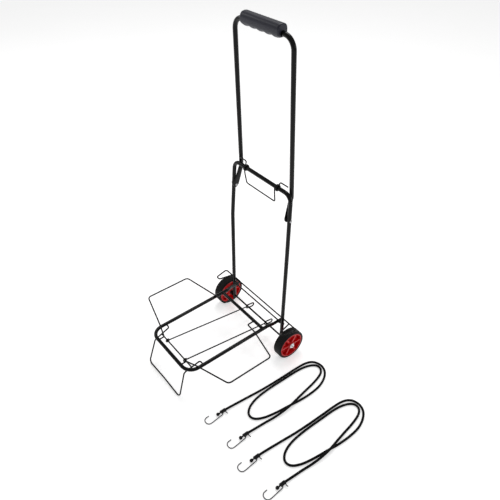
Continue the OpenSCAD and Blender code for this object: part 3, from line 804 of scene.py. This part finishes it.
def rivet_profile(x0, x1):
    """(radius, place) of a rivet, from x0 to x1 between its heads.

    A head is (head sin^0.8 q, dome cos q) for q from 0 to a quarter turn.
    """
    q = np.linspace(0.02, math.pi / 2, 10)
    dome = np.stack([RIVET_HEAD * np.sin(q) ** 0.8, RIVET_DOME * np.cos(q)], 1)
    lower = np.stack([dome[:, 0], x0 - dome[:, 1]], 1)
    upper = np.stack([dome[::-1, 0], x1 + dome[::-1, 1]], 1)
    shank = [(RIVET_HEAD, x0), (RIVET_SHANK, x0), (RIVET_SHANK, x1), (RIVET_HEAD, x1)]
    return np.concatenate([lower, shank, upper])


# the handle rivets take the darkened zinc, which is painted shade
for mark, side in (("l", -1), ("r", 1)):
    for name, pin, x0, x1, material, slot in (
            ("handle_rivet", PIVOT, 111.5, 130.4, SHADE_DARKENED_ZINC, "zinc"),
            ("deck_rivet", HINGE, 107.7, 130.8, TUBE_PAINT, "black_tube")):
        skin = lathe(rivet_profile(x0, x1), 0, pin[1] + AXLE_Y, pin[2], 40, side) / 1000
        grid_piece(f"{name}_{mark}_skin", [skin], material, "frame",
                   (f"{name}_{mark}",))
# solids that are drawn as they were packed
for node in ("leg_plug", "handle_washer", "deck_spacer", "axle_spacer"):
    for mark in "lr":
        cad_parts[f"{node}_{mark}"].data.materials[0] = BLACK_PLASTIC
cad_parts["axle"].data.materials[0] = TUBE_PAINT


# ---- elastic cords ----

CORD_ROUTE = [
    (209.5, -127, 5.4), (210, -112, 4.6), (212, -84, 3.5), (216, -44, 3.5),
    (220, -4, 3.5), (222.5, 40, 3.5), (224, 90, 3.5), (225, 140, 3.5),
    (228, 172, 3.5), (236, 192, 3.5), (250, 203, 3.5), (270, 206, 3.5),
    (291, 197, 3.5), (308, 175, 3.5), (319, 144, 3.5), (322, 106, 3.5),
    (320, 66, 3.5), (314, 24, 3.5), (308, -20, 3.5), (300, -54, 3.5),
    (288, -77, 3.5), (273, -85, 3.5), (257, -79, 3.5), (243, -59, 3.5),
    (234, -26, 3.5), (231, 20, 3.5), (232, 80, 3.5), (234, 138, 3.5),
    (241, 172, 3.5), (253, 192, 3.5), (267, 197, 3.5), (281, 190, 3.5),
    (291, 172, 3.5), (299, 140, 3.5), (304.5, 104, 3.5), (311, 70, 6.5),
    (318, 38, 10.9), (320.2, 4.3, 8.5), (318, -31, 4.5), (314.5, -62, 3.6),
    (312, -98, 4.2), (310.5, -122, 5.4)]
HOOK_PLACES = {"a": (209.2, -136, 5.4), "b": (310.2, -131, 5.4)}      # their coils' middles
CORD_SHIFT = (173, -14, 0)      # mm, from the first cord to the second
CORD_R, HOOK_R, COIL_R = 3.5, 1.5, 1.4      # mm: the cord, the hook's wire, the coil's wire
COIL_RING, COIL_HALF = 4.1, 7.9      # mm, the coil's own radius and half its length
KNOB_START = 9.0      # mm, from the coil's middle to the knotted end


def cord_place(points, number):
    """The first cord's points in metres, or the second's, which are moved over."""
    return (np.asarray(points, float) + (np.array(CORD_SHIFT) if number == 2 else 0)) / 1000


def smooth_line(points, per=6):
    """A Catmull-Rom line through every point, `per` steps to a stretch.

    q(t) = (2 b + (c - a) t + (2 a - 5 b + 4 c - d) t^2 + (3 b - a - 3 c + d) t^3) / 2.
    """
    p = np.concatenate([[2 * points[0] - points[1]], points, [2 * points[-1] - points[-2]]])
    a, b, c, d = p[:-3, None], p[1:-2, None], p[2:-1, None], p[3:, None]
    t = (np.arange(per) / per)[None, :, None]
    line = (2 * b + (c - a) * t + (2 * a - 5 * b + 4 * c - d) * t ** 2
            + (3 * b - a - 3 * c + d) * t ** 3) / 2
    return np.concatenate([line.reshape(-1, 3), points[-1:]])


def skin_uv(sheet, radius):
    """U once round the skin and V in turns of the same size along it, for each point."""
    rows, columns = sheet.shape[:2]
    gone = np.concatenate([[0], np.cumsum(np.linalg.norm(
        np.diff(sheet.mean(1), axis=0), axis=1))]) / (TAU * radius)
    u = np.broadcast_to(np.arange(columns) / columns, (rows, columns))
    v = np.broadcast_to(gone[:, None], (rows, columns))
    uv = np.stack([u, v], -1).reshape(-1, 2)
    return np.concatenate([uv, [[0, gone[0]], [0, gone[-1]]]])


def hook_wire(place):
    """The hook's wire: out of the coil's side, a long shank, and a half-round turned back."""
    o = np.asarray(place, float)
    z = HOOK_R - o[2]      # the shank lies on the floor
    line = [(4, -2, 0), (8.5, -8, -1), (10, -44, z), (10, -60, z), (-13, -60, z),
            (-14, -41, z)]
    return bent(np.array(line, float) + o, [3, 40, 10.5, 10.5])


def hook_coil(place):
    """The wire wound round the cord's end, then its short tail out to one side.

    Coil point = centre + (ring cos s, y, ring sin s), with y falling as s turns 6.6 times.
    """
    s = np.linspace(0, 6.6, 200)
    o = np.asarray(place, float)
    y = COIL_HALF - 2 * COIL_HALF * s / s[-1]
    coil = np.stack([COIL_RING * np.cos(s * TAU), y, COIL_RING * np.sin(s * TAU)], 1)
    tail = np.array([(15, 6, 0), (9, 4.2, 1.4), (4.2, 6.6, -0.6)])
    return o + np.concatenate([tail, coil])


def knob(place):
    """The cord's knotted end, turned about a line along Y: neck, swollen bulb, blunt tip."""
    radius, along = np.array([
        (0.02, 0), (2.2, 0.0), (2.1, 2.2), (2.4, 4.3), (3.5, 5.3), (4.5, 6.6), (4.9, 8.4),
        (4.9, 10.4), (4.3, 12.2), (3.2, 13.4), (1.7, 14.1), (0.02, 14.2)]).T[..., None]
    a = np.arange(28) * TAU / 28
    return np.stack([radius * np.cos(a), -KNOB_START - along + 0 * a,
                     radius * np.sin(a)], -1) + np.array(place)


for number in (1, 2):
    route = smooth_line(cord_place(CORD_ROUTE, number))
    skin = swept(route, CORD_R / 1000, 20, "flat")
    cover = grid_piece(f"cord_{number}_skin", [skin], COVER, "frame",
                       (f"cord_{number}",), skin_uv(skin, CORD_R / 1000))
    for mark, place in HOOK_PLACES.items():
        wire = swept(cord_place(hook_wire(place), number), HOOK_R / 1000, 14)
        coil = swept(cord_place(hook_coil(place), number), COIL_R / 1000, 12)
        grid_piece(f"cord_{number}_hook_{mark}_wire", [wire], HOOK_WIRE,
                               "frame", (f"cord_{number}_hook_{mark}",))
        grid_piece(f"cord_{number}_hook_{mark}_coil", [coil], COIL_WIRE,
                               "frame")
        grid_piece(f"cord_{number}_knob_{mark}_skin",
                               [cord_place(knob(place), number)], BLACK_PLASTIC,
                               "frame", (f"cord_{number}_knob_{mark}",))


# ---- floor and light ----

def stage_floor():
    """A pale floor: one large square just under the wheels, faintly mottled."""
    half = 6.0
    mesh = bpy.data.meshes.new("floor")
    mesh.from_pydata([(-half, -half, 0), (half, -half, 0), (half, half, 0),
                      (-half, half, 0)], [], [(0, 1, 2, 3)])
    p = Paint("pale floor")
    mottle = p.noise(3.0, 3)
    mesh.materials.append(p.finish(
        Base_Color=p.mix(mottle, rgb(0.9, 0.9, 0.9), rgb(0.93, 0.93, 0.93)),
        Roughness=0.6, Emission_Color=rgb(1, 1, 1), Emission_Strength=0.5))
    floor = bpy.data.objects.new("floor", mesh)
    floor.location = (0, 0, -0.0004)
    bpy.context.scene.collection.objects.link(floor)


def soft_light(name, place, aim, size, power):
    """A square softbox at place, turned to face aim."""
    light = bpy.data.objects.new(name, bpy.data.lights.new(name, "AREA"))
    light.data.size, light.data.energy = size, power
    back = unit(np.subtract(place, aim))
    right = unit(np.cross((0, 0, 1), back))
    turn = np.eye(4)
    turn[:3, :3] = np.column_stack([right, np.cross(back, right), back])
    turn[:3, 3] = place
    light.matrix_world = Matrix(turn.tolist())
    bpy.context.scene.collection.objects.link(light)


stage_floor()
soft_light("overhead", (-0.9, 1.2, 3.2), (0, 0, 0.2), 1.5, 34)
soft_light("left strip", (-2.6, -0.8, 2.0), (0, 0, 0.5), 1.0, 10)
soft_light("right strip", (2.2, 1.6, 1.5), (0, 0, 0.5), 0.7, 8)
world = bpy.data.worlds.new("studio")
world.use_nodes = True
world.node_tree.nodes["Background"].inputs["Color"].default_value = (1, 1, 1, 1)
world.node_tree.nodes["Background"].inputs["Strength"].default_value = 0.4
bpy.context.scene.world = world
bpy.context.scene.view_settings.view_transform = "Standard"
